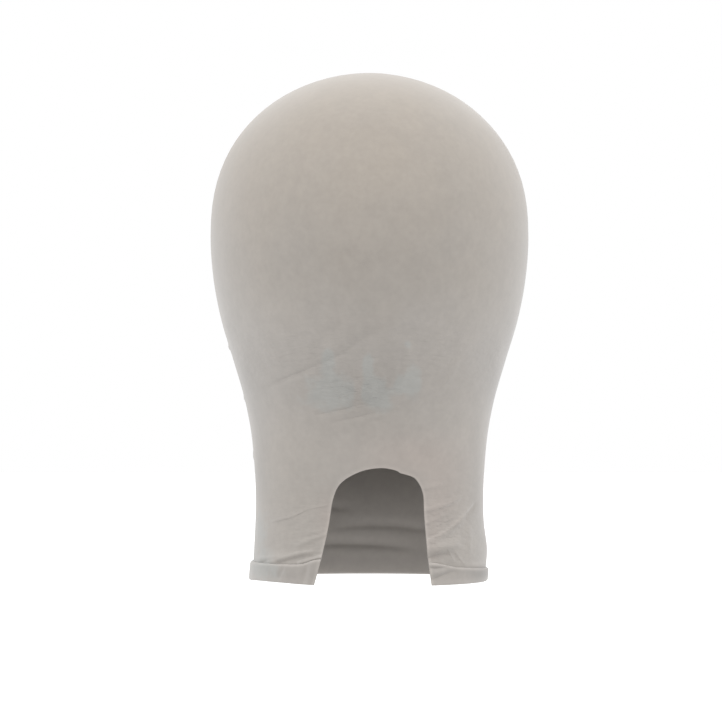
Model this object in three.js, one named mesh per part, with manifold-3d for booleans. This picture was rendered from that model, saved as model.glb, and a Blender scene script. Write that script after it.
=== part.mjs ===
// A seamless latex bald cap in the form that it takes when worn: a bare dome that narrows to a long neck,
// with its rim turned up into a cuff and an arch cut by hand out of the front edge.
// Millimetres, +Z up, -Y the front. The origin is the inside of the crown, where the top of a head meets it.

import * as THREE from "three";
import { mergeVertices } from "three/addons/utils/BufferGeometryUtils.js";
import Module from "manifold-3d";

// Driving dimensions
const WALL = 1.2; // thickness of the latex
const CROWN_HEIGHT = 84; // from the top of the cap down to its widest ring
const CAP_HEIGHT = 261.5; // from the top of the cap down to the fold of the cuff
const CROWN_POWER = 2.12; // exponent of the dome's superellipse: 2 would be an ellipsoid
const CUFF_GAP = 0.6; // slit between the cuff and the wall behind it
const FLARE_HEIGHT = 16; // the stretch above the hem where the wall flares
const LATEX = { color: 0xb4aea6, roughness: 0.62, metalness: 0 };

// Sections from the widest ring to the hem: drop is the distance below the top of the cap, side, front and
// back are how far the outside reaches each way, and taper narrows the front of the plan like an egg.
const SECTIONS = [
  { drop: 84, side: 82, front: 95, back: 104, taper: 0.06 },
  { drop: 106, side: 80.2, front: 92.4, back: 102.6, taper: 0.06 },
  { drop: 127, side: 76.3, front: 87, back: 97.8, taper: 0.05 },
  { drop: 148, side: 70, front: 78.4, back: 88.6, taper: 0.04 },
  { drop: 169, side: 63.9, front: 69.6, back: 77, taper: 0.02 },
  { drop: 190, side: 60.5, front: 63.4, back: 67.4, taper: 0.01 },
  { drop: 220, side: 58.7, front: 59.4, back: 60.2, taper: 0 },
  { drop: 250, side: 59.8, front: 59.8, back: 60, taper: 0 },
  { drop: 261.5, side: 60.3, front: 60.2, back: 60.6, taper: 0 },
];

// The hem all the way round: turn is the angle from the front, in degrees, positive towards +X. cuff is the
// height of the cuff, lift is how far its edge stands off the wall, and flare is how far the hem spreads.
const HEM = [
  { turn: -180, cuff: 8, lift: 0.2, flare: 0.4 },
  { turn: -90, cuff: 9.5, lift: 0.2, flare: 0.9 },
  { turn: -45, cuff: 9.5, lift: 0.2, flare: 0.5 },
  { turn: -27, cuff: 14, lift: 0.9, flare: 0.2 },
  { turn: 31, cuff: 10, lift: 0.4, flare: 0 },
  { turn: 50, cuff: 8, lift: 0.2, flare: 0 },
  { turn: 90, cuff: 6, lift: 0.2, flare: -0.5 },
  { turn: 180, cuff: 8, lift: 0.2, flare: 0.4 },
];

// The main folds of the front, seen from the front: each runs straight from its first point to its second,
// stands out by height, or goes in where that is negative, and fades over its width and towards its ends.
const FOLDS = [
  { x1: -56, drop1: 250, x2: -22, drop2: 243, height: -1.2, width: 3.4 },
  { x1: -58, drop1: 243, x2: -20, drop2: 237, height: 0.9, width: 3.6 },
  { x1: -53, drop1: 231, x2: -18, drop2: 221, height: -0.6, width: 3 },
  { x1: 25, drop1: 247, x2: 44, drop2: 242.5, height: -1.3, width: 3.6 },
  { x1: 25, drop1: 239, x2: 55, drop2: 219, height: 0.9, width: 3.4 },
  { x1: 26, drop1: 225, x2: 48, drop2: 216, height: -0.5, width: 3 },
  { x1: -62, drop1: 166, x2: 6, drop2: 130, height: -0.6, width: 3.4 },
  { x1: -32, drop1: 176, x2: 10, drop2: 167, height: -0.6, width: 3.2 },
];

// The edge of the cut-out, seen from the front, from below the hem on the left to below it on the right
const CUT_EDGE = [
  { x: -29, drop: 267 },
  { x: -24, drop: 247.4 },
  { x: -20.5, drop: 231.3 },
  { x: -18, drop: 217.3 },
  { x: -13.5, drop: 209.3 },
  { x: -4.4, drop: 203.9 },
  { x: 5.6, drop: 202 },
  { x: 13.1, drop: 203.3 },
  { x: 18.2, drop: 205.2 },
  { x: 23.2, drop: 207.9 },
  { x: 26.9, drop: 215.3 },
  { x: 27.5, drop: 227.3 },
  { x: 29.4, drop: 247.4 },
  { x: 32, drop: 267 },
];
const CUT_REACH = 75; // how far forward of the origin the cut runs, clear of the wall

// How finely the skin is divided: closer turns beside the cut-out, closer rows where the folds are
const TURN_ZONES = [
  { from: -84, to: -24, step: 3.5 },
  { from: -24, to: 28, step: 4.5 },
  { from: 28, to: 88, step: 3.5 },
  { from: 88, to: 276, step: 10 },
];
const CROWN_ROWS = { outside: 10, inside: 8 };
const BROW_DROP = 128; // the smooth stretch from the widest ring down to here takes few rows
const BROW_ROWS = 4;
const NECK_ROWS = 26;
const CUFF_ROWS = 3;
const FOLD_STEPS = 4; // facets round the outside of the cuff's fold
const CUT_STEPS = 3; // facets between two points of the cut-out's edge

const radians = THREE.MathUtils.degToRad;
const lerp = THREE.MathUtils.lerp;

// A smooth curve through one column of a table, level at both ends
function curveThrough(rows, key, column) {
  const last = rows.length - 1;
  const slopes = rows.map((row, i) => {
    if (i === 0 || i === last) return 0;
    return (rows[i + 1][column] - rows[i - 1][column]) / (rows[i + 1][key] - rows[i - 1][key]);
  });
  return (at) => {
    let i = 0;
    while (i < last - 1 && rows[i + 1][key] < at) i += 1;
    const span = rows[i + 1][key] - rows[i][key];
    const t = THREE.MathUtils.clamp((at - rows[i][key]) / span, 0, 1);
    const ease = t * t * (3 - 2 * t);
    const leave = slopes[i] * span * t * (1 - t) * (1 - t);
    const arrive = slopes[i + 1] * span * t * t * (1 - t);
    return lerp(rows[i][column], rows[i + 1][column], ease) + leave - arrive;
  };
}

const section = {};
for (const column of ["side", "front", "back", "taper"]) {
  section[column] = curveThrough(SECTIONS, "drop", column);
}
const hemCurves = {};
for (const column of ["cuff", "lift", "flare"]) {
  hemCurves[column] = curveThrough(HEM, "turn", column);
}
const hemAt = (column, turn) => hemCurves[column](turn > 180 ? turn - 360 : turn);

// Levels down the cap: 0 is the top, 1 the widest ring and 2 the hem
const levelOf = (drop) => 1 + (drop - CROWN_HEIGHT) / (CAP_HEIGHT - CROWN_HEIGHT);

function dropOf(level) {
  if (level >= 1) return lerp(CROWN_HEIGHT, CAP_HEIGHT, level - 1);
  return CROWN_HEIGHT * (1 - Math.cos(level * Math.PI / 2) ** (2 / CROWN_POWER));
}

// A point of the outside, without folds
function formAt(turn, level) {
  const drop = dropOf(level);
  const spread = Math.sin(Math.min(level, 1) * Math.PI / 2) ** (2 / CROWN_POWER);
  const nearHem = Math.max(0, 1 - (CAP_HEIGHT - drop) / FLARE_HEIGHT);
  const flare = hemAt("flare", turn) * nearHem * nearHem;
  const side = spread * section.side(drop) + flare;
  const front = spread * section.front(drop) + flare;
  const back = spread * section.back(drop) + flare;
  const ahead = Math.cos(radians(turn));
  const x = side * Math.sin(radians(turn)) * (1 - section.taper(drop) * ahead);
  const y = (back - front) / 2 - (back + front) / 2 * ahead;
  return new THREE.Vector3(x, y, WALL - drop);
}

// The outward normal of the form
function normalAt(turn, level) {
  if (level === 0) return new THREE.Vector3(0, 0, 1);
  const turnStep = 0.1;
  const levelStep = 0.001;
  const around = formAt(turn + turnStep, level).sub(formAt(turn - turnStep, level));
  const down = formAt(turn, level + levelStep).sub(formAt(turn, level - levelStep));
  return down.cross(around).normalize();
}

// How far the folds push the skin out at a point of the front
function foldsAt(point) {
  if (point.y > 0) return 0;
  const here = new THREE.Vector2(point.x, WALL - point.z);
  let height = 0;
  for (const fold of FOLDS) {
    const start = new THREE.Vector2(fold.x1, fold.drop1);
    const run = new THREE.Vector2(fold.x2, fold.drop2).sub(start);
    const away = here.clone().sub(start);
    const along = THREE.MathUtils.clamp(away.dot(run) / run.lengthSq(), 0, 1);
    const aside = run.cross(away) / run.length();
    height += fold.height * Math.sin(along * Math.PI) * Math.exp(-((aside / fold.width) ** 2));
  }
  return height;
}

// A point of the skin: out is its distance outwards from the outer face, negative towards the inside
function skinAt(turn, level, out) {
  const point = formAt(turn, level);
  return point.addScaledVector(normalAt(turn, level), foldsAt(point) + out);
}

function listTurns() {
  const turns = [];
  for (const { from, to, step } of TURN_ZONES) {
    const count = Math.round((to - from) / step);
    for (let i = 0; i < count; i += 1) turns.push(lerp(from, to, i / count));
  }
  return turns;
}

// The levels of the wall from just below the top down to the fold of the cuff
function wallLevels(crownRows) {
  const levels = [];
  const foldTop = CAP_HEIGHT - WALL - CUFF_GAP / 2;
  for (let i = 1; i < crownRows; i += 1) levels.push(i / crownRows);
  for (let i = 0; i < BROW_ROWS; i += 1) levels.push(levelOf(lerp(CROWN_HEIGHT, BROW_DROP, i / BROW_ROWS)));
  for (let i = 0; i <= NECK_ROWS; i += 1) levels.push(levelOf(lerp(BROW_DROP, foldTop, i / NECK_ROWS)));
  return levels;
}

// The cuff at one turn, from the bottom of the slit over its edge and down round the fold to the inside
function cuffPoints(turn) {
  const slit = CUFF_GAP / 2;
  const foldDrop = CAP_HEIGHT - WALL - slit;
  const edgeDrop = CAP_HEIGHT - hemAt("cuff", turn);
  const lift = hemAt("lift", turn);
  const points = [skinAt(turn, levelOf(foldDrop + slit), slit)];
  for (const out of [CUFF_GAP, CUFF_GAP + WALL]) {
    for (let i = 0; i <= CUFF_ROWS; i += 1) {
      const up = out === CUFF_GAP ? i / CUFF_ROWS : 1 - i / CUFF_ROWS;
      points.push(skinAt(turn, levelOf(lerp(foldDrop, edgeDrop, up)), out + lift * up * up));
    }
  }
  for (let i = 1; i < FOLD_STEPS; i += 1) {
    const angle = i / FOLD_STEPS * Math.PI;
    const down = (WALL + slit) * Math.sin(angle);
    points.push(skinAt(turn, levelOf(foldDrop + down), slit + (WALL + slit) * Math.cos(angle)));
  }
  return points;
}

// The whole skin as one closed surface: down the outside, round the cuff, and up the inside
function capGeometry() {
  const turns = listTurns();
  const columns = turns.map((turn) => [
    ...wallLevels(CROWN_ROWS.outside).map((level) => skinAt(turn, level, 0)),
    ...cuffPoints(turn),
    ...wallLevels(CROWN_ROWS.inside).reverse().map((level) => skinAt(turn, level, -WALL)),
  ]);
  const rows = columns[0].length;
  const top = columns.length * rows;
  const points = [...columns.flat(), skinAt(0, 0, 0), skinAt(0, 0, -WALL)];
  const triangles = [];
  columns.forEach((_, i) => {
    const here = i * rows;
    const next = (i + 1) % columns.length * rows;
    triangles.push(top, here, next);
    for (let row = 0; row < rows - 1; row += 1) {
      triangles.push(here + row, here + row + 1, next + row + 1);
      triangles.push(here + row, next + row + 1, next + row);
    }
    triangles.push(here + rows - 1, top + 1, next + rows - 1);
  });
  return new THREE.BufferGeometry().setFromPoints(points).setIndex(triangles);
}

// The block of air that the arch takes out of the front edge
function cutOutGeometry() {
  const edge = CUT_EDGE.map(({ x, drop }) => new THREE.Vector2(x, WALL - drop));
  const shape = new THREE.Shape().moveTo(edge[0].x, edge[0].y).splineThru(edge.slice(1));
  const options = { depth: CUT_REACH, bevelEnabled: false, curveSegments: CUT_STEPS };
  return new THREE.ExtrudeGeometry(shape, options).rotateX(Math.PI / 2);
}

const wasm = await Module();
wasm.setup();

function toSolid(geometry) {
  geometry.deleteAttribute("normal");
  geometry.deleteAttribute("uv");
  const merged = mergeVertices(geometry);
  const vertProperties = new Float32Array(merged.attributes.position.array);
  const triVerts = new Uint32Array(merged.index.array);
  return new wasm.Manifold(new wasm.Mesh({ numProp: 3, vertProperties, triVerts }));
}

function toGeometry(solid) {
  const mesh = solid.getMesh();
  const geometry = new THREE.BufferGeometry();
  geometry.setAttribute("position", new THREE.BufferAttribute(mesh.vertProperties, 3));
  geometry.setIndex(new THREE.BufferAttribute(mesh.triVerts, 1));
  geometry.computeVertexNormals();
  return geometry;
}

const skin = toSolid(capGeometry()).subtract(toSolid(cutOutGeometry()));
const cap = new THREE.Mesh(toGeometry(skin), new THREE.MeshStandardMaterial(LATEX));
cap.name = "bald_cap";

const part = new THREE.Group();
part.add(cap);

export default part;
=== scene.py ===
"""A latex bald cap in its worn form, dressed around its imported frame, in a plain white studio.

The cap is one skin, laid out as a sheet of rows and turns: from the top of the crown down the neck, round the
fold of the hem and up the cuff to its raw edge. The sheet is creased, trimmed along the hand-cut edge at the
front, and given its thickness and round edges. Lengths are metres, +Z is up and -Y is the front.
"""

from collections import namedtuple

import bpy
import numpy as np
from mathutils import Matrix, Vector


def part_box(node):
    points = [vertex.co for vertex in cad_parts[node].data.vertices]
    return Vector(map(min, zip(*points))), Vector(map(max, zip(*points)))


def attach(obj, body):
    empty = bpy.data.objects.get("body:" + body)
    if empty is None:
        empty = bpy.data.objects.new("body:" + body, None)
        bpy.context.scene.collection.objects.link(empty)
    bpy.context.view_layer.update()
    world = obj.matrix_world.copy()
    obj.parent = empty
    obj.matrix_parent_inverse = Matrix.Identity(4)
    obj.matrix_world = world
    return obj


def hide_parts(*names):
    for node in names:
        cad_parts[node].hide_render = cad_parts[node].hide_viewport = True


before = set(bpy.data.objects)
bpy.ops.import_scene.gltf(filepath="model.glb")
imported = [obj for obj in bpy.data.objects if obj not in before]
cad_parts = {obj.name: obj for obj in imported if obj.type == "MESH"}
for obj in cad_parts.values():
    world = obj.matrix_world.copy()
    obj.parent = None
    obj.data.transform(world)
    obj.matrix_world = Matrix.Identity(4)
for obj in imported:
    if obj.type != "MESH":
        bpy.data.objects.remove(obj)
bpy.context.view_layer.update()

# The cap in the frame: a drop is a distance below the top of the cap
CAP_NODE = "bald_cap"
cap_low, cap_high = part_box(CAP_NODE)
CAP_TOP = cap_high.z
CAP_HEIGHT = cap_high.z - cap_low.z
CAP_MIDDLE = (0.0, 0.0, CAP_TOP - CAP_HEIGHT / 2)

# The skin: its thickness, the gap behind the cuff, the bead along the cuff's edge and the fold of the hem
SKIN = 0.0007
CUFF_GAP = 0.0009
CUFF_BEAD = 0.0014
FOLD_RADIUS = (SKIN + CUFF_GAP) / 2
FOLD_DROP = CAP_HEIGHT - FOLD_RADIUS - SKIN / 2

# The form: the height of the dome and how full it is, how far up the hem spreads, and where the folds of the
# wall die out, above and below the edge of the cuff
CROWN_HEIGHT = 0.084
CROWN_POWER = 2.33
FLARE_HEIGHT = 0.016
EASE_ABOVE_EDGE = 0.001
EASE_BELOW_EDGE = 0.003

# Sections from the widest ring to the hem: how far the outside reaches to each side, and how much the front
# of the plan tapers like an egg
SECTIONS = (
    dict(drop=0.084, side=0.0822, front=0.0950, back=0.1040, taper=0.06),
    dict(drop=0.106, side=0.0807, front=0.0924, back=0.1026, taper=0.06),
    dict(drop=0.127, side=0.0767, front=0.0870, back=0.0978, taper=0.05),
    dict(drop=0.148, side=0.0704, front=0.0784, back=0.0886, taper=0.04),
    dict(drop=0.169, side=0.0643, front=0.0696, back=0.0770, taper=0.02),
    dict(drop=0.190, side=0.0605, front=0.0634, back=0.0674, taper=0.01),
    dict(drop=0.220, side=0.0587, front=0.0594, back=0.0602, taper=0.0),
    dict(drop=0.250, side=0.0598, front=0.0598, back=0.0600, taper=0.0),
    dict(drop=0.2615, side=0.0603, front=0.0602, back=0.0606, taper=0.0),
)

# The hem by turn, in degrees from the front towards +X: the height of the cuff, how far its raw edge stands
# off the wall, how far the hem spreads and how far it is pulled up
HEM = (
    dict(turn=-180, cuff=0.0080, lift=0.0001, flare=-0.0002, rise=0.0002),
    dict(turn=-135, cuff=0.0088, lift=0.0002, flare=0.0, rise=0.0004),
    dict(turn=-90, cuff=0.0098, lift=0.0, flare=0.0005, rise=0.0003),
    dict(turn=-68, cuff=0.0096, lift=0.0, flare=0.0003, rise=0.0010),
    dict(turn=-46, cuff=0.0099, lift=0.0, flare=-0.0002, rise=0.0009),
    dict(turn=-35, cuff=0.0104, lift=0.0002, flare=-0.0003, rise=0.0005),
    dict(turn=-24, cuff=0.0131, lift=0.0010, flare=-0.0005, rise=0.0003),
    dict(turn=31, cuff=0.0112, lift=0.0, flare=-0.0006, rise=0.0),
    dict(turn=48, cuff=0.0083, lift=0.0, flare=-0.0006, rise=0.0),
    dict(turn=90, cuff=0.0064, lift=0.0, flare=-0.0009, rise=0.0),
    dict(turn=135, cuff=0.0068, lift=0.0002, flare=-0.0004, rise=0.0003),
    dict(turn=180, cuff=0.0080, lift=0.0001, flare=-0.0002, rise=0.0002),
)

# The hand-cut edge, seen from the front as (x, drop), from below the hem on the left to below it on the right
CUT_EDGE = (
    (-0.0298, 0.2670), (-0.0246, 0.2474), (-0.0210, 0.2313), (-0.0186, 0.2173), (-0.0143, 0.2091),
    (-0.0045, 0.2035), (0.0056, 0.2018), (0.0131, 0.2030), (0.0151, 0.2043), (0.0180, 0.2051),
    (0.0232, 0.2075), (0.0270, 0.2150), (0.0278, 0.2273), (0.0296, 0.2474), (0.0322, 0.2670),
)

# How finely the cut is followed between two points, and how far above it and to each side of the cap's middle
# its distance is worked out
CUT_STEPS = 12
NEAR_CUT_ABOVE = 0.010
NEAR_CUT_SIDE = 0.040

# Creases, seen from the front or the back as (x, drop): each runs from start to end, pulled towards bend. It
# stands out by height, or goes in where that is negative, over a width above its line and another below it
Crease = namedtuple("Crease", "start bend end height above below")

# How finely a crease is followed and, in widths of its own, how its ends fade and how far it reaches
CREASE_STEPS = 24
CREASE_FADE = 1.8
CREASE_REACH = 3

LEFT_FLAP = (
    Crease((-0.0510, 0.2306), (-0.0430, 0.2286), (-0.0350, 0.2248), 0.00026, 0.0014, 0.0008),
    Crease((-0.0375, 0.2262), (-0.0300, 0.2213), (-0.0190, 0.2214), 0.00010, 0.0012, 0.0007),
    Crease((-0.0390, 0.2427), (-0.0294, 0.2385), (-0.0190, 0.2342), 0.00052, 0.0014, 0.0009),
    Crease((-0.0330, 0.2360), (-0.0275, 0.2348), (-0.0210, 0.2330), 0.00025, 0.0010, 0.0008),
    Crease((-0.0600, 0.2502), (-0.0520, 0.2489), (-0.0400, 0.2471), 0.00100, 0.0013, 0.0034),
    Crease((-0.0470, 0.2496), (-0.0372, 0.2462), (-0.0272, 0.2440), 0.00120, 0.0011, 0.0013),
    Crease((-0.0482, 0.2514), (-0.0389, 0.2470), (-0.0300, 0.2457), -0.00080, 0.0009, 0.0014),
    Crease((-0.0570, 0.2522), (-0.0535, 0.2503), (-0.0500, 0.2497), -0.00055, 0.0008, 0.0010),
    Crease((-0.0532, 0.2516), (-0.0495, 0.2503), (-0.0458, 0.2498), 0.00025, 0.0010, 0.0010),
    Crease((-0.0367, 0.2511), (-0.0321, 0.2495), (-0.0200, 0.2463), 0.00160, 0.0011, 0.0006),
)
RIGHT_FLAP = (
    Crease((0.0250, 0.2130), (0.0310, 0.2121), (0.0372, 0.2105), 0.00045, 0.0010, 0.0007),
    Crease((0.0220, 0.2245), (0.0360, 0.2233), (0.0480, 0.2165), 0.00085, 0.0016, 0.0010),
    Crease((0.0260, 0.2306), (0.0348, 0.2283), (0.0450, 0.2226), 0.00050, 0.0010, 0.0008),
    Crease((0.0250, 0.2402), (0.0380, 0.2371), (0.0484, 0.2270), 0.00118, 0.0008, 0.0020),
    Crease((0.0480, 0.2284), (0.0512, 0.2254), (0.0550, 0.2194), -0.00055, 0.0010, 0.0012),
    Crease((0.0120, 0.2446), (0.0345, 0.2431), (0.0490, 0.2412), 0.00150, 0.0046, 0.0016),
    Crease((0.0180, 0.2493), (0.0320, 0.2472), (0.0415, 0.2456), -0.00120, 0.0012, 0.0019),
    Crease((0.0385, 0.2418), (0.0411, 0.2472), (0.0437, 0.2505), 0.00011, 0.0008, 0.0007),
    Crease((0.0437, 0.2505), (0.0433, 0.2472), (0.0420, 0.2435), -0.00014, 0.0008, 0.0008),
    Crease((0.0426, 0.2440), (0.0464, 0.2488), (0.0494, 0.2530), 0.00014, 0.0008, 0.0008),
    Crease((0.0506, 0.2300), (0.0510, 0.2390), (0.0506, 0.2490), 0.00025, 0.0014, 0.0014),
)
MIDDLE = (
    Crease((-0.0545, 0.1629), (-0.0350, 0.1548), (-0.0120, 0.1435), -0.00045, 0.0011, 0.0013),
    Crease((-0.0260, 0.1505), (-0.0080, 0.1415), (0.0060, 0.1300), -0.00060, 0.0014, 0.0014),
    Crease((-0.0290, 0.1760), (-0.0140, 0.1722), (0.0040, 0.1682), -0.00075, 0.0011, 0.0013),
    Crease((-0.0110, 0.1692), (-0.0040, 0.1680), (0.0030, 0.1668), -0.00060, 0.0016, 0.0014),
    Crease((-0.0210, 0.1798), (-0.0040, 0.1756), (0.0100, 0.1724), -0.00060, 0.0011, 0.0013),
    Crease((-0.0010, 0.1786), (0.0040, 0.1780), (0.0095, 0.1768), -0.00050, 0.0011, 0.0012),
    Crease((0.0030, 0.1746), (0.0080, 0.1739), (0.0140, 0.1731), -0.00040, 0.0011, 0.0012),
    Crease((0.0000, 0.1460), (0.0050, 0.1540), (0.0105, 0.1650), 0.00040, 0.0014, 0.0012),
    Crease((0.0170, 0.1400), (0.0160, 0.1540), (0.0100, 0.1650), -0.00040, 0.0016, 0.0016),
    Crease((0.0200, 0.1668), (0.0260, 0.1645), (0.0320, 0.1612), 0.00035, 0.0012, 0.0012),
    Crease((0.0350, 0.1630), (0.0400, 0.1570), (0.0450, 0.1490), 0.00035, 0.0012, 0.0012),
)
BACK_FOLDS = (
    Crease((-0.0500, 0.2470), (-0.0100, 0.2430), (0.0250, 0.2480), 0.00090, 0.0036, 0.0020),
    Crease((-0.0200, 0.2370), (0.0120, 0.2330), (0.0420, 0.2400), 0.00070, 0.0034, 0.0020),
    Crease((-0.0520, 0.2290), (-0.0300, 0.2240), (-0.0080, 0.2270), 0.00060, 0.0030, 0.0018),
)
CUFF_CREASES = (
    Crease((-0.0421, 0.2515), (-0.0434, 0.2557), (-0.0456, 0.2605), -0.00045, 0.0009, 0.0009),
    Crease((-0.0304, 0.2490), (-0.0316, 0.2552), (-0.0338, 0.2625), -0.00050, 0.0009, 0.0009),
    Crease((-0.0274, 0.2480), (-0.0286, 0.2551), (-0.0308, 0.2625), 0.00050, 0.0009, 0.0009),
    Crease((0.0260, 0.2522), (0.0330, 0.2532), (0.0395, 0.2524), -0.00100, 0.0009, 0.0009),
    Crease((0.0265, 0.2573), (0.0320, 0.2560), (0.0375, 0.2545), 0.00060, 0.0012, 0.0008),
    Crease((0.0270, 0.2598), (0.0372, 0.2553), (0.0440, 0.2545), -0.00090, 0.0010, 0.0013),
)

# Hair-fine lines in the skin, seen from the front as (x, drop) and drawn from left to right, with how far the
# middle of each sags. They are too fine for the sheet, so the latex shows them in its surface
Line = namedtuple("Line", "start end sag height above below")

FINE_LINES = (
    Line((-0.0510, 0.2304), (-0.0375, 0.2265), 0.0001, 0.00024, 0.0009, 0.0005),
    Line((-0.0395, 0.2273), (-0.0315, 0.2232), 0.0000, 0.00026, 0.0007, 0.0004),
    Line((-0.0340, 0.2242), (-0.0190, 0.2212), -0.0007, 0.00012, 0.0006, 0.0004),
    Line((0.0270, 0.2242), (0.0465, 0.2176), 0.0012, 0.00018, 0.0007, 0.0004),
    Line((0.0290, 0.2268), (0.0430, 0.2212), 0.0006, 0.00012, 0.0005, 0.0004),
    Line((0.0290, 0.2330), (0.0440, 0.2265), 0.0006, 0.00014, 0.0005, 0.0004),
    Line((0.0280, 0.2388), (0.0458, 0.2292), 0.0012, 0.00022, 0.0007, 0.0004),
    Line((0.0390, 0.2424), (0.0432, 0.2500), 0.0002, 0.00013, 0.0004, 0.0004),
    Line((0.0430, 0.2446), (0.0488, 0.2524), 0.0002, 0.00015, 0.0005, 0.0005),
    Line((-0.0500, 0.1600), (-0.0180, 0.1466), 0.0004, -0.00018, 0.0006, 0.0005),
    Line((-0.0285, 0.1757), (0.0000, 0.1690), 0.0004, -0.00021, 0.0005, 0.0004),
    Line((-0.0175, 0.1788), (0.0085, 0.1726), 0.0003, -0.00019, 0.0005, 0.0004),
)

# Small bulges by turn and drop, and the size of each around and down the cap: pinched nubs on the left side,
# a soft fold that shows in the outline on the right, and a slight flat on the right of the crown
BULGES = (
    dict(turn=-90, drop=0.1414, height=0.0007, around=0.0016, down=0.0012),
    dict(turn=-90, drop=0.1677, height=0.0005, around=0.0016, down=0.0012),
    dict(turn=-90, drop=0.1971, height=0.0007, around=0.0016, down=0.0014),
    dict(turn=86, drop=0.2445, height=0.0011, around=0.0120, down=0.0090),
    dict(turn=90, drop=0.0240, height=-0.0005, around=0.0600, down=0.0220),
)

# Soft spots on the skin, seen from the front: fine crinkles, pale powder or a gap in it, a rosy blush, and
# spots that are darker, or paler where the strength is negative. These are partly smudges and pale patches
# and partly painted light and shade: painted shade down the sides of the narrowing and the neck and on the
# right end of the cuff, and painted light at the sides of the crown and over the shade above the cuff's edge.
# Behind the sides they all fade out
SPOT_FADE = 0.045
CRINKLES = (
    dict(x=-0.0300, drop=0.2360, across=0.0180, down=0.0220, strength=0.25),
    dict(x=0.0380, drop=0.2340, across=0.0160, down=0.0220, strength=0.45),
    dict(x=-0.0030, drop=0.1630, across=0.0130, down=0.0080, strength=1.0),
    dict(x=-0.0200, drop=0.1600, across=0.0100, down=0.0140, strength=0.25),
    dict(x=0.0, drop=0.1450, across=0.0600, down=0.0160, strength=0.3),
)
POWDER = (
    dict(x=-0.0198, drop=0.1635, across=0.0135, down=0.0110, strength=1.0),
    dict(x=-0.0209, drop=0.1470, across=0.0030, down=0.0070, strength=0.9),
    dict(x=0.0036, drop=0.1655, across=0.0090, down=0.0085, strength=1.0),
    dict(x=-0.0010, drop=0.1505, across=0.0028, down=0.0085, strength=0.9),
    dict(x=-0.0057, drop=0.1610, across=0.0018, down=0.0100, strength=-0.6),
    dict(x=0.0215, drop=0.1585, across=0.0050, down=0.0090, strength=1.0),
    dict(x=0.0148, drop=0.1600, across=0.0026, down=0.0050, strength=0.7),
    dict(x=0.0190, drop=0.1400, across=0.0022, down=0.0030, strength=0.8),
    dict(x=-0.0560, drop=0.2350, across=0.0050, down=0.0110, strength=0.7),
    dict(x=-0.0540, drop=0.2545, across=0.0110, down=0.0090, strength=0.8),
)
BLUSH = (
    dict(x=0.0220, drop=0.1960, across=0.0260, down=0.0120, strength=0.9),
    dict(x=0.0360, drop=0.2170, across=0.0120, down=0.0170, strength=0.85),
    dict(x=-0.0220, drop=0.2270, across=0.0040, down=0.0120, strength=0.8),
    dict(x=0.0320, drop=0.2380, across=0.0040, down=0.0160, strength=0.6),
)
SMUDGES_AND_PAINTED_LIGHT = (
    dict(x=0.0110, drop=0.1550, across=0.0045, down=0.0100, strength=0.35),
    dict(x=-0.0340, drop=0.1670, across=0.0090, down=0.0050, strength=0.16),
    dict(x=-0.0040, drop=0.1685, across=0.0060, down=0.0030, strength=0.40),
    dict(x=0.0440, drop=0.1380, across=0.0060, down=0.0070, strength=0.12),
    dict(x=-0.0460, drop=0.1450, across=0.0110, down=0.0060, strength=0.12),
    dict(x=-0.0410, drop=0.2575, across=0.0100, down=0.0030, strength=0.45),
    dict(x=0.0440, drop=0.2562, across=0.0120, down=0.0030, strength=0.30),
    # Painted shade on the right end of the cuff, where the sheen lights the side
    dict(x=0.0595, drop=0.2575, across=0.0075, down=0.0036, strength=2.2),
    dict(x=-0.0210, drop=0.1400, across=0.0030, down=0.0030, strength=-0.50),
    dict(x=0.0195, drop=0.1405, across=0.0030, down=0.0035, strength=-0.40),
    dict(x=0.0215, drop=0.1560, across=0.0045, down=0.0060, strength=-0.40),
    dict(x=-0.0015, drop=0.1490, across=0.0045, down=0.0090, strength=-0.25),
    # Painted light at both sides of the crown
    dict(x=-0.0600, drop=0.0430, across=0.0220, down=0.0180, strength=-0.32),
    dict(x=0.0600, drop=0.0430, across=0.0220, down=0.0180, strength=-0.45),
    dict(x=0.0050, drop=0.1970, across=0.0280, down=0.0090, strength=-0.30),
    dict(x=0.0340, drop=0.2260, across=0.0100, down=0.0170, strength=-0.15),
    # Painted light on the right side of the crown
    dict(x=0.0740, drop=0.0560, across=0.0120, down=0.0220, strength=-0.25),
    # Painted light over the shadow above the cuff's edge on the right, and beside the right of the cut
    dict(x=0.0550, drop=0.2522, across=0.0060, down=0.0016, strength=-0.95),
    dict(x=0.0300, drop=0.2115, across=0.0060, down=0.0090, strength=-0.35),
    # Painted shade down both sides of the narrowing and the neck, holding back the sheen there
    dict(x=-0.0710, drop=0.1340, across=0.0045, down=0.0140, strength=0.60),
    dict(x=0.0710, drop=0.1340, across=0.0045, down=0.0140, strength=0.60),
    dict(x=-0.0630, drop=0.1590, across=0.0060, down=0.0180, strength=0.85),
    dict(x=0.0635, drop=0.1590, across=0.0045, down=0.0180, strength=0.85),
    dict(x=-0.0565, drop=0.1980, across=0.0045, down=0.0280, strength=0.85),
    dict(x=0.0552, drop=0.2120, across=0.0045, down=0.0400, strength=0.65),
)

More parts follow.
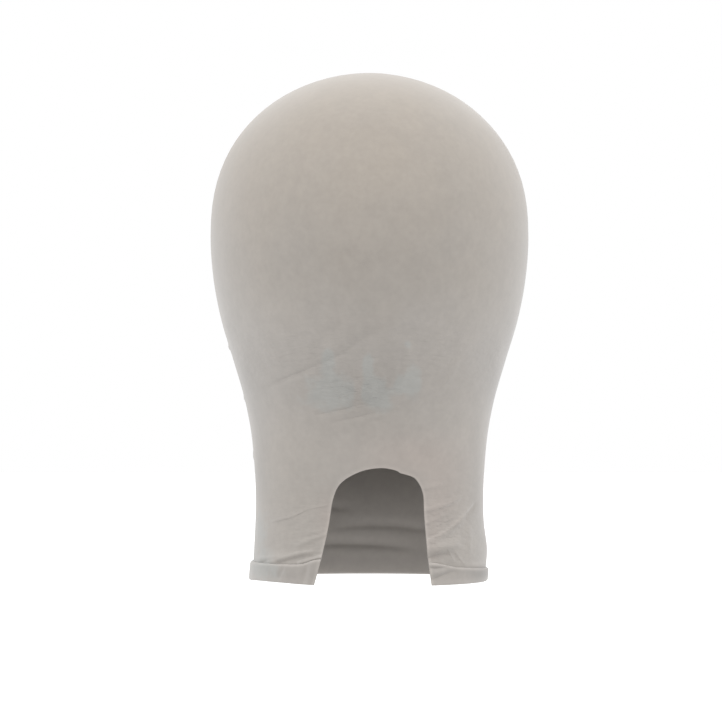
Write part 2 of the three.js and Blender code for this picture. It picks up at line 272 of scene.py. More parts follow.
# Painted light and shade in streaks, laid out as creases are, whose height is how much darker they make the
# skin, or paler where it is negative: painted shade in folds and creases, and painted highlights along
# crests and over the shadow above the cuff's edge
PAINTED_LIGHT_AND_SHADE_STREAKS = (
    Crease((-0.0520, 0.2500), (-0.0490, 0.2494), (-0.0462, 0.2490), -0.60, 0.0009, 0.0009),
    Crease((-0.0545, 0.2462), (-0.0450, 0.2460), (-0.0340, 0.2440), -0.40, 0.0014, 0.0012),
    Crease((-0.0425, 0.2503), (-0.0380, 0.2502), (-0.0335, 0.2500), -0.60, 0.0008, 0.0008),
    Crease((0.0395, 0.2345), (0.0455, 0.2323), (0.0515, 0.2232), 0.60, 0.0010, 0.0014),
    Crease((0.0340, 0.2356), (0.0450, 0.2314), (0.0525, 0.2208), -0.70, 0.0012, 0.0010),
    Crease((0.0265, 0.2412), (0.0350, 0.2407), (0.0460, 0.2390), -0.55, 0.0020, 0.0022),
    Crease((0.0255, 0.2470), (0.0340, 0.2465), (0.0435, 0.2450), 0.35, 0.0014, 0.0014),
    Crease((-0.0170, 0.1446), (-0.0070, 0.1378), (0.0040, 0.1296), 0.20, 0.0020, 0.0020),
)

# The tone of the latex down the cap: tawny on the crown and grey where it is pulled over the narrowing. The
# lightness is painted light and shade down the cap: darker over the crown, lighter under the dome and down
# the neck, a little darker on the cuff, and a painted highlight along the bottom of the hem
TONE = (
    dict(drop=0.0, warmth=1.0, painted_lightness=0.915),
    dict(drop=0.012, warmth=1.0, painted_lightness=0.866),
    dict(drop=0.030, warmth=1.0, painted_lightness=0.838),
    dict(drop=0.042, warmth=0.92, painted_lightness=0.862),
    dict(drop=0.060, warmth=0.76, painted_lightness=0.922),
    dict(drop=0.082, warmth=0.55, painted_lightness=0.955),
    dict(drop=0.107, warmth=0.41, painted_lightness=0.976),
    dict(drop=0.133, warmth=0.25, painted_lightness=1.055),
    dict(drop=0.160, warmth=0.22, painted_lightness=1.02),
    dict(drop=0.185, warmth=0.28, painted_lightness=1.038),
    dict(drop=0.215, warmth=0.30, painted_lightness=0.99),
    dict(drop=0.250, warmth=0.30, painted_lightness=0.99),
    dict(drop=0.255, warmth=0.32, painted_lightness=0.96),
    dict(drop=0.262, warmth=0.34, painted_lightness=1.12),
)

# The painted highlight along the raw edges and how wide it is, and the distance given to what has no such
# edge near it
EDGE_HIGHLIGHT_WIDTH = 0.0014
FAR = 1.0

# The noises in the latex, with how fine each is and how much detail it has. Ripples are finer down the cap
# than around it, so their scale goes by axis
WARMTH_NOISE = dict(scale=14, detail=3)
POWDER_NOISE = dict(scale=170, detail=4)
MOTTLE_NOISE = dict(scale=340, detail=5)
CLOUD_NOISE = dict(scale=120, detail=3)
GLOSS_NOISE = dict(scale=60, detail=3)
GRAIN_NOISE = dict(scale=900, detail=3)
RIPPLE_NOISE = dict(scale=1, detail=2)
RIPPLE_SCALE = (150, 150, 480)

# What a noise mostly stays between, how far the warmth drifts, and where noise and powder add up to a dusting
NOISE_LOW = 0.3
NOISE_HIGH = 0.7
WARMTH_DRIFT = 0.15
POWDER_STARTS = 0.8
POWDER_FULL = 1.2

# The finish that both sides of the latex share, with how strongly the smudges and painted light and shade and
# the painted highlight along the raw edges show, and the colours and depth of ripples of each
LATEX_TONE = dict(Mottle=0.030, Cloud=0.032, Smudges_and_painted_light=0.16, Edge_highlight=0.16)
LATEX_FEEL = dict(Dull=0.72, Smooth=0.58, Grain=0.00002)
LATEX_SPECULAR = 0.3
LATEX_SHEEN = 0.5
LATEX_SHEEN_ROUGHNESS = 0.5
OUTSIDE_COLOURS = dict(
    Warm=(0.389, 0.3446, 0.297, 1),
    Cool=(0.3545, 0.3337, 0.3135, 1),
    Powder=(0.357, 0.352, 0.333, 1),
    Blush=(0.374, 0.333, 0.304, 1),
)
OUTSIDE_RIPPLE = 0.0024
INSIDE_COLOURS = dict(
    Warm=(0.378, 0.3400, 0.306, 1),
    Cool=(0.363, 0.3390, 0.316, 1),
    Powder=(0.362, 0.356, 0.336, 1),
    Blush=(0.375, 0.344, 0.316, 1),
)
INSIDE_RIPPLE = 0.0006

# How finely the sheet is divided: in degrees around, in rows over the crown, down to each drop, round the
# fold and up the cuff, where they crowd towards its edge, and at angles round a raw edge
TURN_ZONES = (
    dict(start=-100, end=-70, step=1.6),
    dict(start=-70, end=-20, step=0.8),
    dict(start=-20, end=24, step=1.25),
    dict(start=24, end=70, step=0.8),
    dict(start=70, end=100, step=1.6),
    dict(start=100, end=260, step=4.0),
)
CROWN_ROWS = 22
ROW_ZONES = (
    dict(drop=0.128, rows=10),
    dict(drop=0.140, rows=10),
    dict(drop=0.182, rows=42),
    dict(drop=0.200, rows=9),
    dict(drop=0.209, rows=8),
    dict(drop=0.216, rows=11),
    dict(drop=0.236, rows=34),
    dict(drop=0.2525, rows=42),
    dict(drop=FOLD_DROP, rows=6),
)
FOLD_ROWS = 10
CUFF_ROWS = 18
CUFF_ROW_POWER = 1.6
EDGE_ANGLES = (45, 90, 135)

# The least length that anything is divided by
TINY = 1e-12


def smooth_step(low, high, value):
    """A smooth rise from 0 at low to 1 at high."""
    t = np.clip((value - low) / (high - low), 0, 1)
    return t * t * (3 - 2 * t)


def smooth_way(t, first, last, leaving, arriving):
    """A smooth way from first to last as t goes from 0 to 1, with its slope at each end."""
    leave = leaving * t * (1 - t) ** 2
    arrive = arriving * t * t * (1 - t)
    return first + (last - first) * smooth_step(0, 1, t) + leave - arrive


def curve_through(table, key, column):
    """A smooth curve through one column of a table, level at both ends."""
    at = np.array([row[key] for row in table])
    value = np.array([row[column] for row in table])
    slope = np.zeros(len(table))
    slope[1:-1] = (value[2:] - value[:-2]) / (at[2:] - at[:-2])

    def curve(where):
        i = np.clip(np.searchsorted(at, where) - 1, 0, len(at) - 2)
        span = at[i + 1] - at[i]
        t = np.clip((where - at[i]) / span, 0, 1)
        return smooth_way(t, value[i], value[i + 1], slope[i] * span, slope[i + 1] * span)

    return curve


def spline(points, steps):
    """A smooth line through a few points."""
    points = np.array(points)
    before = np.vstack([2 * points[0] - points[1], points[:-1]])
    after = np.vstack([points[1:], 2 * points[-1] - points[-2]])
    slope = (after - before) / 2
    t = np.linspace(0, 1, steps, endpoint=False)[:, None]
    runs = [smooth_way(t, points[i], points[i + 1], slope[i], slope[i + 1]) for i in range(len(points) - 1)]
    return np.vstack([*runs, points[-1:]])


section = {column: curve_through(SECTIONS, "drop", column) for column in ("side", "front", "back", "taper")}
hem = {column: curve_through(HEM, "turn", column) for column in ("cuff", "lift", "flare", "rise")}


def hem_at(column, turn):
    """A column of the hem at a turn, which may run on past the back."""
    return hem[column](np.where(turn > 180, turn - 360, turn))


# Levels down the cap: 0 is the top, 1 the widest ring and 2 the hem
def level_of(drop):
    return 1 + (drop - CROWN_HEIGHT) / (CAP_HEIGHT - CROWN_HEIGHT)


def drop_of(level):
    crown = CROWN_HEIGHT * (1 - np.cos(np.minimum(level, 1) * np.pi / 2) ** (2 / CROWN_POWER))
    return np.where(level < 1, crown, CROWN_HEIGHT + (level - 1) * (CAP_HEIGHT - CROWN_HEIGHT))


def form(turn, level):
    """Points of the outside, without creases."""
    drop = drop_of(level)
    spread = np.sin(np.minimum(level, 1) * np.pi / 2)
    near_hem = np.maximum(0, 1 - (CAP_HEIGHT - drop) / FLARE_HEIGHT)
    flare = hem_at("flare", turn) * near_hem ** 2
    rise = hem_at("rise", turn) * near_hem ** 2
    side = spread * section["side"](drop) + flare
    front = spread * section["front"](drop) + flare
    back = spread * section["back"](drop) + flare
    ahead = np.cos(np.radians(turn))
    x = side * np.sin(np.radians(turn)) * (1 - section["taper"](drop) * ahead)
    y = (back - front) / 2 - (back + front) / 2 * ahead
    return np.stack([x, y, CAP_TOP - drop + rise], axis=-1)


def form_normals(turn, level):
    """The way out from the form, square to it."""
    turn_step = 0.1
    level_step = 0.001
    around = form(turn + turn_step, level) - form(turn - turn_step, level)
    down = form(turn, level + level_step) - form(turn, level - level_step)
    normal = np.cross(down, around)
    return normal / np.linalg.norm(normal, axis=-1, keepdims=True)


def place_beside(points, first, last):
    """Where points lie beside a straight run: how far along, from 0 to 1, how far off, and which are below."""
    run = last - first
    away = points - first
    along = np.clip(away @ run / (run @ run), 0, 1)
    apart = np.linalg.norm(away - along[:, None] * run, axis=1)
    is_below = run[0] * away[:, 1] - run[1] * away[:, 0] > 0
    return along, apart, is_below


def crease_relief(creases, x, drop):
    """How far the creases push the skin out at points seen from the front or the back."""
    relief = np.zeros(x.shape)
    t = np.linspace(0, 1, CREASE_STEPS + 1)[:, None]
    for crease in creases:
        start, bend, end = (np.array(point) for point in (crease.start, crease.bend, crease.end))
        path = (1 - t) ** 2 * start + 2 * t * (1 - t) * bend + t ** 2 * end
        length = np.linalg.norm(np.diff(path, axis=0), axis=1).sum()
        fade = CREASE_FADE * max(crease.above, crease.below)
        reach = CREASE_REACH * max(crease.above, crease.below)
        low = path.min(axis=0) - reach
        high = path.max(axis=0) + reach
        near = (x > low[0]) & (x < high[0]) & (drop > low[1]) & (drop < high[1])
        points = np.stack([x[near], drop[near]], axis=-1)
        nearest = np.full(len(points), np.inf)
        height = np.zeros(len(points))
        for i in range(CREASE_STEPS):
            along, apart, is_below = place_beside(points, path[i], path[i + 1])
            width = np.where(is_below, crease.below, crease.above)
            share = (i + along) / CREASE_STEPS
            from_end = np.minimum(share, 1 - share) * length
            taper = np.sqrt(np.sin(share * np.pi)) * smooth_step(0, fade, from_end)
            closer = apart < nearest
            nearest[closer] = apart[closer]
            height[closer] = (crease.height * taper * np.exp(-(apart / width) ** 2))[closer]
        relief[near] += height
    return relief


def bulge_relief(turn, drop):
    """How far the small bulges push the wall out."""
    relief = np.zeros(turn.shape)
    for bulge in BULGES:
        off = (turn - bulge["turn"] + 180) % 360 - 180
        around = np.radians(off) * section["side"](bulge["drop"]) / bulge["around"]
        down = (drop - bulge["drop"]) / bulge["down"]
        relief += bulge["height"] * np.exp(-around ** 2 - down ** 2)
    return relief


def wall_relief(points, turn, drop, cuff_edge):
    """How far the creases and bulges push the wall out, down to just under the edge of the cuff."""
    creased = np.where(
        points[..., 1] < 0,
        crease_relief(LEFT_FLAP + RIGHT_FLAP + MIDDLE, points[..., 0], drop),
        crease_relief(BACK_FOLDS, points[..., 0], drop),
    )
    above_cuff = 1 - smooth_step(cuff_edge - EASE_ABOVE_EDGE, cuff_edge + EASE_BELOW_EDGE, drop)
    return (creased + bulge_relief(turn, drop)) * above_cuff


def sheet_turns():
    """The turns of the sheet's columns, all the way round."""
    turns = []
    for zone in TURN_ZONES:
        count = round((zone["end"] - zone["start"]) / zone["step"])
        turns.extend(np.linspace(zone["start"], zone["end"], count, endpoint=False))
    return np.array(turns)


def wall_levels():
    """The levels of the wall's rows, from just below the top to the fold of the hem."""
    levels = list(np.linspace(0, 1, CROWN_ROWS + 1)[1:])
    reached = CROWN_HEIGHT
    for zone in ROW_ZONES:
        levels.extend(level_of(np.linspace(reached, zone["drop"], zone["rows"] + 1)[1:]))
        reached = zone["drop"]
    return np.array(levels)


def wall_sheet(turns, cuff_edge):
    """The middle of the wall's skin: rows of points, and the drop of each."""
    level = np.repeat(wall_levels()[:, None], len(turns), axis=1)
    turn = np.broadcast_to(turns, level.shape)
    drop = drop_of(level)
    bare = form(turn, level)
    out = wall_relief(bare, turn, drop, cuff_edge) - SKIN / 2
    return bare + form_normals(turn, level) * out[..., None], drop


def hem_sheet(turns, cuff_edge):
    """The middle of the skin round the fold and up the cuff: rows of points, and the drop of each.

    With them comes how far each point lies from the raw edge of the cuff.
    """
    angle = np.linspace(0, np.pi, FOLD_ROWS + 2)[1:-1, None]
    fold_drop = np.tile(FOLD_DROP + FOLD_RADIUS * np.sin(angle), len(turns))
    fold_out = np.tile(FOLD_RADIUS * (1 - np.cos(angle)) - SKIN / 2, len(turns))

    up = 1 - (1 - np.linspace(0, 1, CUFF_ROWS + 1)[:, None]) ** CUFF_ROW_POWER
    cuff_drop = FOLD_DROP + (cuff_edge - FOLD_DROP) * up
    from_bead = np.clip(1 - (cuff_drop - cuff_edge) / CUFF_BEAD, 0, 1)
    tucked = CUFF_GAP * (1 - np.sqrt(1 - from_bead ** 2))
    cuff_out = SKIN / 2 + CUFF_GAP + hem_at("lift", turns) * up ** 2 - tucked

    drop = np.concatenate([fold_drop, cuff_drop])
    out = np.concatenate([fold_out, cuff_out])
    level = level_of(drop)
    turn = np.broadcast_to(turns, drop.shape)
    bare = form(turn, level)
    in_front = bare[..., 1] < 0
    out = out + np.where(in_front, crease_relief(CUFF_CREASES, bare[..., 0], drop), 0)
    out = out + np.maximum(0, wall_relief(bare, turn, drop, cuff_edge))
    from_raw_edge = np.concatenate([np.full(fold_drop.shape, FAR), cuff_drop - cuff_edge])
    return bare + form_normals(turn, level) * out[..., None], drop, from_raw_edge


def whole_sheet():
    """The middle of the skin from the top to the edge of the cuff: rows of points, and the drop of each.

    With them comes how far each point lies from the raw edge of the cuff.
    """
    turns = sheet_turns()
    cuff_edge = CAP_HEIGHT - hem_at("cuff", turns)
    wall_points, wall_drop = wall_sheet(turns, cuff_edge)
    hem_points, hem_drop, hem_from_raw_edge = hem_sheet(turns, cuff_edge)
    points = np.concatenate([wall_points, hem_points])
    drop = np.concatenate([wall_drop, hem_drop])
    from_raw_edge = np.concatenate([np.full(wall_drop.shape, FAR), hem_from_raw_edge])
    return points, drop, from_raw_edge


def distance_from_cut(points, drop):
    """How far each point of the sheet lies outside the hand-cut edge, negative where the skin is cut away."""
    edge = spline(CUT_EDGE, CUT_STEPS)
    is_low = drop > edge[:, 1].min() - NEAR_CUT_ABOVE
    near = (points[..., 1] < 0) & is_low & (np.abs(points[..., 0]) < NEAR_CUT_SIDE)
    places = np.stack([points[..., 0][near], drop[near]], axis=-1)
    nearest = np.full(len(places), np.inf)
    is_cut = np.zeros(len(places), bool)
    # A point is cut away where a level line from it to the right meets the edge an odd number of times
    for first, last in zip(edge, np.roll(edge, -1, axis=0)):
        _, apart, is_below = place_beside(places, first, last)
        nearest = np.minimum(nearest, apart)
        is_level = (first[1] > places[:, 1]) != (last[1] > places[:, 1])
        is_cut ^= is_level & (is_below == (last[1] > first[1]))
    distance = np.full(drop.shape, FAR)
    distance[near] = np.where(is_cut, -nearest, nearest)
    return distance


def trimmed_sheet(points, distance):
    """The sheet's vertices and faces, without what the cut takes away: a face on the cut ends exactly at it.

    After its place, each point holds how far it lies from the nearest raw edge, which is carried along.
    """
    rows, turns = distance.shape
    vertices = list(points.reshape(rows * turns, -1))
    distance = distance.ravel()
    kept = distance > 0
    on_edge = {}

    def crossing(a, b):
        key = (min(a, b), max(a, b))
        if key not in on_edge:
            share = distance[a] / (distance[a] - distance[b])
            on_edge[key] = len(vertices)
            vertices.append(vertices[a] + (vertices[b] - vertices[a]) * share)
        return on_edge[key]

    faces = []
    for turn in range(turns):
        beside = (turn + 1) % turns
        for row in range(rows - 1):
            above = row * turns
            below = above + turns
            corners = (above + turn, below + turn, below + beside, above + beside)
            if all(kept[corner] for corner in corners):
                faces.append(corners)
            elif any(kept[corner] for corner in corners):
                outline = []
                for a, b in zip(corners, corners[1:] + corners[:1]):
                    if kept[a]:
                        outline.append(a)
                    if kept[a] != kept[b]:
                        outline.append(crossing(a, b))
                faces.append(tuple(outline))
    top = len(vertices)
    vertices.append(np.array([0, 0, CAP_TOP - SKIN / 2, FAR]))
    faces.extend((top, turn, (turn + 1) % turns) for turn in range(turns))
    used = np.unique(np.concatenate([np.array(face) for face in faces]))
    place = np.full(len(vertices), -1)
    place[used] = np.arange(len(used))
    return np.array(vertices)[used], [tuple(int(place[v]) for v in face) for face in faces]


def vertex_normals(vertices, faces):
    """The way out from the sheet at each vertex."""
    mesh = bpy.data.meshes.new("sheet")
    mesh.from_pydata(vertices.tolist(), [], faces)
    normals = np.zeros(len(vertices) * 3, np.float32)
    mesh.vertex_normals.foreach_get("vector", normals)
    bpy.data.meshes.remove(mesh)
    return normals.reshape(-1, 3).astype(float)


def raw_edges(faces):
    """The edges that only one face has, each in that face's own direction."""
    edges = {}
    for face in faces:
        for a, b in zip(face, face[1:] + face[:1]):
            if edges.pop((b, a), None) is None:
                edges[(a, b)] = True
    return list(edges)


def skin_from_sheet(vertices, faces):
    """Both faces of the skin and its round raw edges.

    With the vertices and faces come how many faces are on the outer side, and the vertex of the sheet that
    each vertex was made from.
    """
    normals = vertex_normals(vertices, faces)
    edges = raw_edges(faces)
    away = np.zeros(vertices.shape)
    for a, b in edges:
        outward = np.cross(vertices[b] - vertices[a], normals[a])
        away[a] += outward
        away[b] += outward
    length = np.linalg.norm(away, axis=1, keepdims=True)
    away = away / np.maximum(length, TINY)
    count = len(vertices)
    layers = [vertices + normals * SKIN / 2, vertices - normals * SKIN / 2]
    inner_faces = [tuple(v + count for v in reversed(face)) for face in faces]

    rim = np.array(sorted({v for edge in edges for v in edge}))
    rim_place = {int(v): i for i, v in enumerate(rim)}
    rings = []
    for i, angle in enumerate(np.radians(EDGE_ANGLES)):
        round_edge = vertices + (away * np.sin(angle) + normals * np.cos(angle)) * SKIN / 2
        layers.append(round_edge[rim])
        rings.append(2 * count + i * len(rim))
    edge_faces = []
    for a, b in edges:
        round_steps = [(ring + rim_place[a], ring + rim_place[b]) for ring in rings]
        steps = [(a, b), *round_steps, (a + count, b + count)]
        edge_faces.extend((b1, a1, a2, b2) for (a1, b1), (a2, b2) in zip(steps, steps[1:]))
    made_from = np.concatenate([np.arange(count), np.arange(count), np.tile(rim, len(rings))])
    all_faces = list(faces) + edge_faces + inner_faces
    return np.vstack(layers), all_faces, len(faces) + len(edge_faces), made_from


def soft_spots(spots, points):
    """A mask on the front of the cap, from a table of soft spots. It fades out behind the sides."""
    mask = np.zeros(len(points))
    drop = CAP_TOP - points[:, 2]
    for spot in spots:
        across = (points[:, 0] - spot["x"]) / spot["across"]
        down = (drop - spot["drop"]) / spot["down"]
        mask += spot["strength"] * np.exp(-across ** 2 - down ** 2)
    return mask * (1 - smooth_step(0, SPOT_FADE, points[:, 1]))


def skin_masks(points, from_edge):
    """What the latex shows at each point, as masks by name."""
    drop = CAP_TOP - points[:, 2]
    in_front = points[:, 1] < 0
    # Painted highlights and shade in streaks along the folds, on the front
    painted_streaks = np.where(in_front, crease_relief(PAINTED_LIGHT_AND_SHADE_STREAKS, points[:, 0], drop), 0)
    return {
        "crinkle": soft_spots(CRINKLES, points),
        "powder": soft_spots(POWDER, points),
        "blush": soft_spots(BLUSH, points),
        # Smudges, with painted light and shade in spots and streaks
        "smudges_and_painted_light": soft_spots(SMUDGES_AND_PAINTED_LIGHT, points) + painted_streaks,
        "warmth": curve_through(TONE, "drop", "warmth")(drop),
        "painted_lightness": curve_through(TONE, "drop", "painted_lightness")(drop),
        # A painted highlight along the raw edges
        "rim": 1 - smooth_step(0, EDGE_HIGHLIGHT_WIDTH, from_edge),
    }


def make_cap(outside, inside):
    """The cap as one mesh of two materials, with its masks on the vertices."""
    points, drop, from_raw_edge = whole_sheet()
    from_cut = distance_from_cut(points, drop)
    from_edge = np.minimum(from_cut, from_raw_edge)
    sheet, sheet_faces = trimmed_sheet(np.dstack([points, from_edge]), from_cut)
    vertices, faces, outer_count, made_from = skin_from_sheet(sheet[:, :3], sheet_faces)

    mesh = bpy.data.meshes.new("latex_bald_cap")
    mesh.from_pydata(vertices.tolist(), [], faces)
    mesh.shade_smooth()
    mesh.materials.append(outside)
    mesh.materials.append(inside)
    is_inside = np.arange(len(faces)) >= outer_count
    mesh.polygons.foreach_set("material_index", is_inside.astype(np.int32))
    for name, mask in skin_masks(vertices, sheet[made_from, 3]).items():
        mesh.attributes.new(name, "FLOAT", "POINT").data.foreach_set("value", mask.astype(np.float32))
    mesh.validate()
    cap = bpy.data.objects.new("latex_bald_cap", mesh)
    bpy.context.scene.collection.objects.link(cap)
    return cap


# Kinds of socket, and the sockets of a colour mix by number, because their names repeat
COLOUR = "NodeSocketColor"
NUMBER = "NodeSocketFloat"
VECTOR = "NodeSocketVector"
MIX_SHARE = 0
MIX_FIRST = 6
MIX_SECOND = 7
MIX_RESULT = 2


def new_group(name, inputs, outputs):
    """A shader node group with named sockets: its tree, what it is given, and what it puts out."""
    tree = bpy.data.node_groups.new(name, "ShaderNodeTree")
    for socket, kind in inputs.items():
        tree.interface.new_socket(name=socket, in_out="INPUT", socket_type=kind)
    for socket, kind in outputs.items():
        tree.interface.new_socket(name=socket, in_out="OUTPUT", socket_type=kind)
    return tree, tree.nodes.new("NodeGroupInput").outputs, tree.nodes.new("NodeGroupOutput").inputs


def add_node(tree, kind, inputs=(), **settings):
    """A node with its settings, and its inputs linked or set."""
    node = tree.nodes.new(kind)
    for name, value in settings.items():
        setattr(node, name, value)
    for socket, value in dict(inputs).items():
        if isinstance(value, bpy.types.NodeSocket):
            tree.links.new(value, node.inputs[socket])
        else:
            node.inputs[socket].default_value = value
    return node


def maths(tree, operation, *values):
    return add_node(tree, "ShaderNodeMath", dict(enumerate(values)), operation=operation).outputs["Value"]


def vector_maths(tree, operation, *values):
    return add_node(tree, "ShaderNodeVectorMath", dict(enumerate(values)), operation=operation).outputs


def map_range(tree, value, low, high, to_low, to_high):
    inputs = {"Value": value, "From Min": low, "From Max": high, "To Min": to_low, "To Max": to_high}
    return add_node(tree, "ShaderNodeMapRange", inputs).outputs["Result"]


def blend_colours(tree, share, first, second):
    inputs = {MIX_SHARE: share, MIX_FIRST: first, MIX_SECOND: second}
    return add_node(tree, "ShaderNodeMix", inputs, data_type="RGBA").outputs[MIX_RESULT]


def mask_named(tree, name):
    return add_node(tree, "ShaderNodeAttribute", attribute_name=name).outputs["Fac"]


def noise(tree, place, kind):
    inputs = {"Vector": place, "Scale": kind["scale"], "Detail": kind["detail"]}
    return add_node(tree, "ShaderNodeTexNoise", inputs).outputs["Fac"]


def patches(tree, place, kind, low, high):
    """Noise spread out between two values."""
    return map_range(tree, noise(tree, place, kind), NOISE_LOW, NOISE_HIGH, low, high)


def latex_tone_group():
    """The colour of dipped latex: warm and cool clouds, a blush, powder, smudges and a mottle, with painted
    light and shade in spots and streaks, a painted highlight along the raw edges and painted lightness down
    the cap.
    """
    tree, given, result = new_group(
        "latex_tone",
        {
            "Warm": COLOUR,
            "Cool": COLOUR,
            "Powder": COLOUR,
            "Blush": COLOUR,
            "Mottle": NUMBER,
            "Cloud": NUMBER,
            "Smudges_and_painted_light": NUMBER,
            "Edge_highlight": NUMBER,
        },
        {"Colour": COLOUR},
    )
    place = add_node(tree, "ShaderNodeTexCoord").outputs["Object"]
    drift = patches(tree, place, WARMTH_NOISE, -WARMTH_DRIFT, WARMTH_DRIFT)
    warmth = maths(tree, "ADD", mask_named(tree, "warmth"), drift)
    tone = blend_colours(tree, warmth, given["Cool"], given["Warm"])
    rosy = blend_colours(tree, mask_named(tree, "blush"), tone, given["Blush"])
    ragged = maths(tree, "ADD", mask_named(tree, "powder"), noise(tree, place, POWDER_NOISE))
    dust = map_range(tree, ragged, POWDER_STARTS, POWDER_FULL, 0, 1)
    dusted = blend_colours(tree, dust, rosy, given["Powder"])
    mottle = maths(tree, "MULTIPLY", patches(tree, place, MOTTLE_NOISE, -1, 1), given["Mottle"])
    cloud = maths(tree, "MULTIPLY", patches(tree, place, CLOUD_NOISE, -1, 1), given["Cloud"])
    # Smudges with painted light and shade, the painted edge highlight and painted lightness set the value
    smudges_and_painted_light = maths(tree, "MULTIPLY", mask_named(tree, "smudges_and_painted_light"), given["Smudges_and_painted_light"])
    rim = maths(tree, "MULTIPLY", mask_named(tree, "rim"), given["Edge_highlight"])
    change = maths(tree, "ADD", maths(tree, "ADD", mottle, cloud), maths(tree, "SUBTRACT", rim, smudges_and_painted_light))
    value = maths(tree, "MULTIPLY", maths(tree, "ADD", change, 1.0), mask_named(tree, "painted_lightness"))
    finished = add_node(tree, "ShaderNodeHueSaturation", {"Color": dusted, "Value": value}).outputs["Color"]
    tree.links.new(finished, result["Colour"])
    return tree


def fine_line_group():
    """One hair-fine line in the skin as a height: a narrow ridge or groove with faded ends."""
    tree, given, result = new_group(
        "fine_line",
        {
            "Place": VECTOR,
            "Start": VECTOR,
            "Along": VECTOR,
            "Across": VECTOR,
            "Sag": NUMBER,
            "Height": NUMBER,
            "Above": NUMBER,
            "Below": NUMBER,
        },
        {"Height": NUMBER},
    )
    away = vector_maths(tree, "SUBTRACT", given["Place"], given["Start"])["Vector"]
    along = vector_maths(tree, "DOT_PRODUCT", away, given["Along"])["Value"]
    across = vector_maths(tree, "DOT_PRODUCT", away, given["Across"])["Value"]
    # The arch is 0 at both ends of the line and 1 at its middle
    arch = maths(tree, "MULTIPLY", maths(tree, "MULTIPLY", along, 4.0), maths(tree, "SUBTRACT", 1.0, along))
    below = maths(tree, "SUBTRACT", across, maths(tree, "MULTIPLY", arch, given["Sag"]))
    is_below = maths(tree, "GREATER_THAN", below, 0.0)
    width = map_range(tree, is_below, 0, 1, given["Above"], given["Below"])
    off = maths(tree, "DIVIDE", below, width)
    fall = maths(tree, "EXPONENT", maths(tree, "MULTIPLY", maths(tree, "MULTIPLY", off, off), -1.0))
    ends = maths(tree, "MAXIMUM", arch, 0.0)
    height = maths(tree, "MULTIPLY", maths(tree, "MULTIPLY", fall, ends), given["Height"])
    tree.links.new(height, result["Height"])
    return tree


def fine_line_height(tree, place):
    """The height of all the fine lines on the front of the cap."""
    axes = add_node(tree, "ShaderNodeSeparateXYZ", {"Vector": place}).outputs
    drop = maths(tree, "SUBTRACT", CAP_TOP, axes["Z"])
    front_place = add_node(tree, "ShaderNodeCombineXYZ", {"X": axes["X"], "Y": drop}).outputs["Vector"]
    line_group = fine_line_group()
    height = 0.0
    for line in FINE_LINES:
        run = Vector((line.end[0] - line.start[0], line.end[1] - line.start[1], 0))
        drawn = add_node(
            tree, "ShaderNodeGroup", node_tree=line_group,
            inputs={
                "Place": front_place,
                "Start": (*line.start, 0),
                "Along": run / run.length_squared,
                "Across": Vector((-run.y, run.x, 0)).normalized(),
                "Sag": line.sag,
                "Height": line.height,
                "Above": line.above,
                "Below": line.below,
            },
        )
        height = maths(tree, "ADD", height, drawn.outputs["Height"])
    in_front = maths(tree, "LESS_THAN", axes["Y"], 0.0)
    return maths(tree, "MULTIPLY", height, in_front)


def latex_surface_group():
    """The feel of dipped latex: a fine grain, ripples where the skin is pulled, and fine lines in front."""
    tree, given, result = new_group(
        "latex_surface",
        {"Dull": NUMBER, "Smooth": NUMBER, "Ripple": NUMBER, "Grain": NUMBER},
        {"Roughness": NUMBER, "Height": NUMBER},
    )
    place = add_node(tree, "ShaderNodeTexCoord").outputs["Object"]
    rough = patches(tree, place, GLOSS_NOISE, given["Smooth"], given["Dull"])
    flat = add_node(tree, "ShaderNodeMapping", {"Vector": place, "Scale": RIPPLE_SCALE}).outputs["Vector"]
    pulled = maths(tree, "MULTIPLY", mask_named(tree, "crinkle"), given["Ripple"])
    ripples = maths(tree, "MULTIPLY", noise(tree, flat, RIPPLE_NOISE), pulled)
    grain = maths(tree, "MULTIPLY", noise(tree, place, GRAIN_NOISE), given["Grain"])
    height = maths(tree, "ADD", maths(tree, "ADD", ripples, grain), fine_line_height(tree, place))
    tree.links.new(rough, result["Roughness"])
    tree.links.new(height, result["Height"])
    return tree


def latex_material(name, tone_group, surface_group, colours, ripple):
    """One side of the latex, in its own colours and with its own depth of ripples."""
    material = bpy.data.materials.new(name)
    material.use_nodes = True
    tree = material.node_tree
    shader = tree.nodes["Principled BSDF"]
    tone = add_node(tree, "ShaderNodeGroup", {**colours, **LATEX_TONE}, node_tree=tone_group)
    surface = add_node(tree, "ShaderNodeGroup", {**LATEX_FEEL, "Ripple": ripple}, node_tree=surface_group)
    bump = add_node(
        tree, "ShaderNodeBump",
        {"Height": surface.outputs["Height"], "Strength": 1.0, "Distance": 1.0},
    )
    tree.links.new(tone.outputs["Colour"], shader.inputs["Base Color"])
    tree.links.new(surface.outputs["Roughness"], shader.inputs["Roughness"])
    tree.links.new(bump.outputs["Normal"], shader.inputs["Normal"])
    shader.inputs["Specular IOR Level"].default_value = LATEX_SPECULAR
    shader.inputs["Sheen Weight"].default_value = LATEX_SHEEN
    shader.inputs["Sheen Roughness"].default_value = LATEX_SHEEN_ROUGHNESS
    return material


tone_group = latex_tone_group()
surface_group = latex_surface_group()
latex_outside = latex_material("latex_outside", tone_group, surface_group, OUTSIDE_COLOURS, OUTSIDE_RIPPLE)
latex_inside = latex_material("latex_inside", tone_group, surface_group, INSIDE_COLOURS, INSIDE_RIPPLE)
cap = make_cap(latex_outside, latex_inside)
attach(cap, "root")
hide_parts(CAP_NODE)


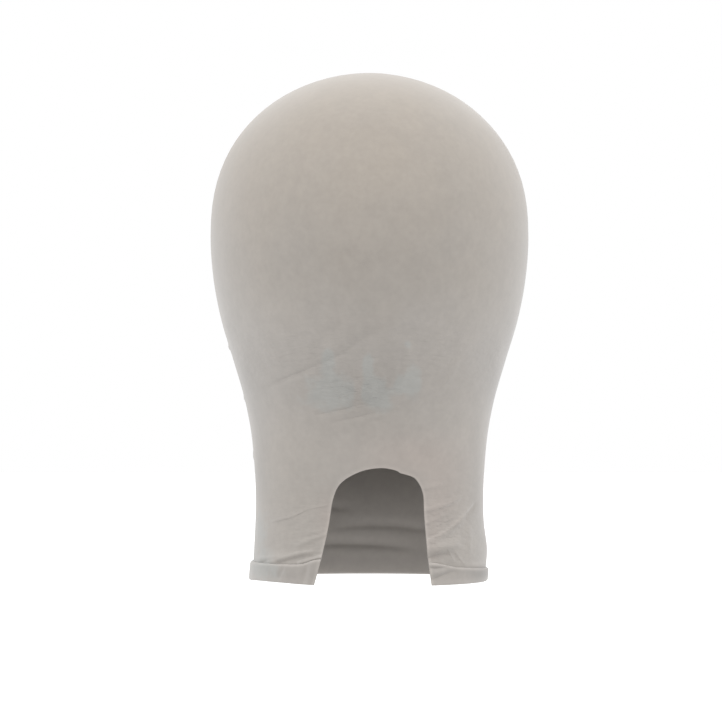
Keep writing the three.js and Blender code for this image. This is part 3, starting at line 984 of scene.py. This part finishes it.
# The studio: a white floor far below that runs past the picture, and soft square lights above and at both
# sides, placed from the inside of the crown
FLOOR_DROP = 1.3
FLOOR_REACH = 40.0
FLOOR_COLOUR = (0.8, 0.8, 0.8, 1)
FLOOR_GLOW = (0.6, 0.6, 0.6, 1)
FLOOR_ROUGHNESS = 0.9
FLOOR_SPECULAR = 0.1
ROOM_COLOUR = (1, 1, 1, 1)
LIGHTS = (
    dict(name="light_above", place=(0.0, 0.0, 1.3), size=1.2, power=1.5),
    dict(name="light_left", place=(-1.2, -0.7, 1.6), size=0.9, power=13.2),
    dict(name="light_right", place=(1.2, -0.7, 1.6), size=0.9, power=12.4),
)


def make_floor():
    """The floor, which looks white however little light falls on it."""
    mesh = bpy.data.meshes.new("floor")
    z = CAP_TOP - FLOOR_DROP
    corners = [(-1, -1), (1, -1), (1, 1), (-1, 1)]
    mesh.from_pydata([(x * FLOOR_REACH, y * FLOOR_REACH, z) for x, y in corners], [], [(0, 1, 2, 3)])
    material = bpy.data.materials.new("white_floor")
    material.use_nodes = True
    shader = material.node_tree.nodes["Principled BSDF"]
    shader.inputs["Base Color"].default_value = FLOOR_COLOUR
    shader.inputs["Roughness"].default_value = FLOOR_ROUGHNESS
    shader.inputs["Specular IOR Level"].default_value = FLOOR_SPECULAR
    shader.inputs["Emission Color"].default_value = FLOOR_GLOW
    seen = material.node_tree.nodes.new("ShaderNodeLightPath").outputs["Is Camera Ray"]
    material.node_tree.links.new(seen, shader.inputs["Emission Strength"])
    mesh.materials.append(material)
    floor = bpy.data.objects.new("floor", mesh)
    bpy.context.scene.collection.objects.link(floor)


def aim(thing, target):
    thing.rotation_euler = (Vector(target) - thing.location).to_track_quat("-Z", "Y").to_euler()


def soft_light(name, place, size, power):
    light = bpy.data.lights.new(name, "AREA")
    light.shape = "SQUARE"
    light.size = size
    light.energy = power
    thing = bpy.data.objects.new(name, light)
    thing.location = place
    aim(thing, CAP_MIDDLE)
    bpy.context.scene.collection.objects.link(thing)


make_floor()
for light in LIGHTS:
    soft_light(**light)

world = bpy.data.worlds.new("white_room")
world.use_nodes = True
world.node_tree.nodes["Background"].inputs["Color"].default_value = ROOM_COLOUR
bpy.context.scene.world = world
bpy.context.scene.view_settings.view_transform = "Standard"

# The camera: level with the lower half of the cap, from far off, and a little to its left
CAMERA_DROP = 0.1484
CAMERA_DISTANCE = 2.116
CAMERA_LEFT = 0.0044
PICTURE_WIDTH = 0.3726
SENSOR_WIDTH = 36

camera_data = bpy.data.cameras.new("camera")
camera_data.sensor_width = SENSOR_WIDTH
camera_data.lens = SENSOR_WIDTH * CAMERA_DISTANCE / PICTURE_WIDTH
camera = bpy.data.objects.new("camera", camera_data)
camera.location = (-CAMERA_LEFT, -CAMERA_DISTANCE, CAP_TOP - CAMERA_DROP)
aim(camera, (-CAMERA_LEFT, 0.0, CAP_TOP - CAMERA_DROP))
bpy.context.scene.collection.objects.link(camera)
bpy.context.scene.camera = camera
